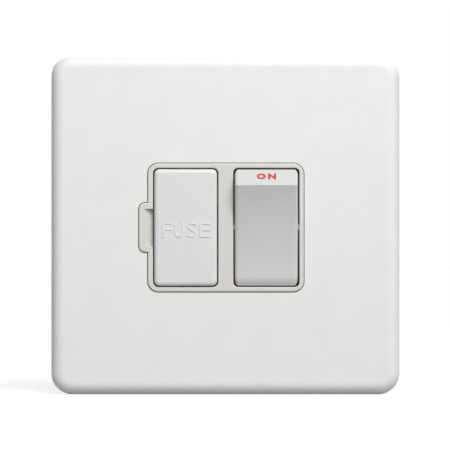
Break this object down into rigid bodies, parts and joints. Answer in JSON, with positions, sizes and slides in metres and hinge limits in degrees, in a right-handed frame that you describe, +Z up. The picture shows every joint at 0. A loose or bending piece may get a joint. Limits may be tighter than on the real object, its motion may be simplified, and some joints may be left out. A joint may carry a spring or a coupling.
{
  "type": "switched fused connection unit",
  "caption": "White screwless fused spur unit: square steel cover, cream module frame, pull-out fuse carrier and rocker switch, terminals behind.",
  "frame": {"origin": "centre of the two fixing holes, on the wall face of the backing frame", "axes": "+X right, +Z up, -Y out of the wall towards the user"},
  "size_m": [0.0884, 0.029, 0.086],
  "materials": {
    "cover_white": "white powder coat, satin",
    "frame_grey": "plain moulded",
    "module_cream": "moulded, satin",
    "base_white": "plain moulded",
    "carrier_white": "moulded, satin",
    "rocker_white": "moulded, gloss",
    "plunger_plastic": "moulded acetal",
    "brass": "plain brass",
    "contact_silver": "silver alloy",
    "spring_steel": "drawn wire",
    "plated_steel": "zinc plated",
    "fuse_ceramic": "unglazed"
  },
  "bodies": {
    "unit": {"cover_plate": "cover_white", "backing_frame": "frame_grey", "module_front": "module_cream", "module_base": "base_white", "assembly_screws": "plated_steel", "live_fixed_tip": "contact_silver", "neutral_fixed_tip": "contact_silver", "supply_live_strap": "brass", "supply_neutral_strap": "brass", "load_live_strap": "brass", "load_neutral_strap": "brass", "fuse_feed_strap": "brass", "earth_strap": "brass", "supply_live_terminal": "brass", "supply_neutral_terminal": "brass", "load_live_terminal": "brass", "load_neutral_terminal": "brass", "earth_terminal_left": "brass", "earth_terminal_middle": "brass", "terminal_screws": "plated_steel"},
    "rocker_switch": {"rocker": "rocker_white", "live_plunger": "plunger_plastic", "neutral_plunger": "plunger_plastic", "live_plunger_spring": "spring_steel", "neutral_plunger_spring": "spring_steel"},
    "live_contact": {"live_see_saw": "brass", "live_moving_tip": "contact_silver"},
    "neutral_contact": {"neutral_see_saw": "brass", "neutral_moving_tip": "contact_silver"},
    "fuse_drawer": {"fuse_carrier": "carrier_white", "fuse_barrel": "fuse_ceramic", "fuse_end_caps": "plated_steel"}
  },
  "joints": [
    {"name": "rocker_tilt", "type": "hinge", "parent": "unit", "child": "rocker_switch", "pos_m": [0.0001, -0.005, -0.0007], "axis": [1, 0, 0], "range_deg": [-18, 0]},
    {"name": "live_contact_tilt", "type": "hinge", "parent": "unit", "child": "live_contact", "pos_m": [0.0001, 0.0078, -0.0007], "axis": [1, 0, 0], "range_deg": [0, 14]},
    {"name": "neutral_contact_tilt", "type": "hinge", "parent": "unit", "child": "neutral_contact", "pos_m": [0.0001, 0.0078, -0.0007], "axis": [1, 0, 0], "range_deg": [0, 14]},
    {"name": "fuse_drawer_slide", "type": "slide", "parent": "unit", "child": "fuse_drawer", "axis": [0, -1, 0], "range_m": [0, 0.016]}
  ],
  "couplings": [
    {"joint": "live_contact_tilt", "follows": "rocker_tilt", "ratio": -0.77778},
    {"joint": "neutral_contact_tilt", "follows": "rocker_tilt", "ratio": -0.77778}
  ]
}
